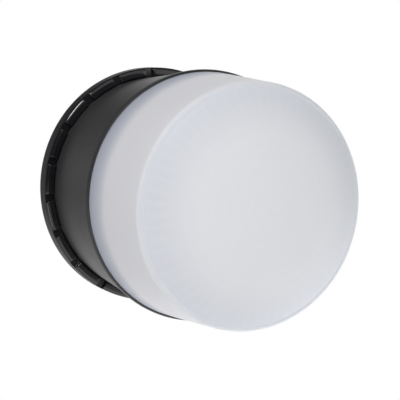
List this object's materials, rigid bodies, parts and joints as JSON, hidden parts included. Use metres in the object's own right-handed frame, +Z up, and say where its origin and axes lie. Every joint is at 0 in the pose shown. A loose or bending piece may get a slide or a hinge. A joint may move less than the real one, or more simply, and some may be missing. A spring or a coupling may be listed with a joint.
{
  "type": "signal head",
  "caption": "Round wall-mounted LED signal head with a domed opal lens, a charcoal body and a castellated twist-lock ring at its base.",
  "frame": {"origin": "centre of the rear mounting face, on the signal's axis", "axes": "+Z up, the lens faces -Y, +Y points into the wall, +X to the right seen from the front"},
  "size_m": [0.102, 0.1105, 0.102],
  "materials": {
    "base_moulding": "glass-filled nylon, fine moulded grain",
    "foam": "closed-cell foam",
    "rubber": "matt black elastomer",
    "vent_plastic": "grey moulded plastic",
    "terminal_plastic": "light grey insulating plastic",
    "brass": "turned and tinned brass",
    "zinc_steel": "zinc-plated steel",
    "spring_steel": "drawn spring wire",
    "ring_gloss": "glossy black moulded plastic",
    "body_charcoal": "charcoal plastic with a fine satin grain",
    "board_green": "green solder mask on glass epoxy",
    "ferrite": "sintered ferrite",
    "copper_wire": "enamelled copper wire",
    "can_sleeve": "shrunk sleeve over an aluminium can",
    "chip_epoxy": "moulded epoxy",
    "sink_aluminium": "plain die-cast aluminium",
    "pad_silicone": "soft grey-blue silicone",
    "board_white": "white solder mask on aluminium core",
    "led_phosphor": "yellow phosphor gel in a white frame",
    "reflector_white": "white reflective plastic",
    "opal_lens": "opal polycarbonate, satin outside",
    "clear_optic": "clear moulded polycarbonate with ridges and ribs"
  },
  "bodies": {
    "head": {"mount_base": "base_moulding", "base_gasket": "foam", "cable_grommet": "rubber", "breather_plug": "vent_plastic", "base_seal": "rubber", "terminal_block": "terminal_plastic", "terminal_clamps": "brass", "terminal_screws": "zinc_steel", "strain_relief": "base_moulding", "strain_relief_screws": "zinc_steel", "contact_carrier": "terminal_plastic", "contact_barrels": "brass", "pin_spring_1": "spring_steel", "pin_spring_2": "spring_steel", "pin_spring_3": "spring_steel", "body_shell": "body_charcoal", "contact_studs": "brass", "post_inserts": "brass", "driver_board": "board_green", "driver_standoffs": "brass", "driver_screws": "zinc_steel", "choke_core": "ferrite", "choke_winding": "copper_wire", "capacitors": "can_sleeve", "driver_chips": "chip_epoxy", "fuse": "terminal_plastic", "header_block": "chip_epoxy", "header_pins": "brass", "header_socket": "chip_epoxy", "heat_sink": "sink_aluminium", "thermal_pad": "pad_silicone", "led_board": "board_white", "led_chips": "led_phosphor", "light_engine_screws": "zinc_steel", "reflector": "reflector_white"},
    "ring": {"locking_ring": "ring_gloss"},
    "lens": {"lens_cover": "opal_lens", "lens_seal": "rubber", "ribbed_optic": "clear_optic"},
    "contact_pin_1": {"contact_pin_1": "brass"},
    "contact_pin_2": {"contact_pin_2": "brass"},
    "contact_pin_3": {"contact_pin_3": "brass"}
  },
  "joints": [
    {"name": "ring_turn", "type": "hinge", "parent": "head", "child": "ring", "pos_m": [0, -0.004, 0], "axis": [0, -1, 0], "range_deg": [0, 36]},
    {"name": "lens_turn", "type": "hinge", "parent": "head", "child": "lens", "pos_m": [0, -0.05, 0], "axis": [0, -1, 0], "range_deg": [0, 25]},
    {"name": "contact_pin_1_travel", "type": "slide", "parent": "head", "child": "contact_pin_1", "axis": [0, 1, 0], "range_m": [0, 0.0012], "stiffness_N_per_m": 600, "springref_m": -0.0012, "deforming": ["pin_spring_1"]},
    {"name": "contact_pin_2_travel", "type": "slide", "parent": "head", "child": "contact_pin_2", "axis": [0, 1, 0], "range_m": [0, 0.0012], "stiffness_N_per_m": 600, "springref_m": -0.0012, "deforming": ["pin_spring_2"]},
    {"name": "contact_pin_3_travel", "type": "slide", "parent": "head", "child": "contact_pin_3", "axis": [0, 1, 0], "range_m": [0, 0.0012], "stiffness_N_per_m": 600, "springref_m": -0.0012, "deforming": ["pin_spring_3"]}
  ]
}
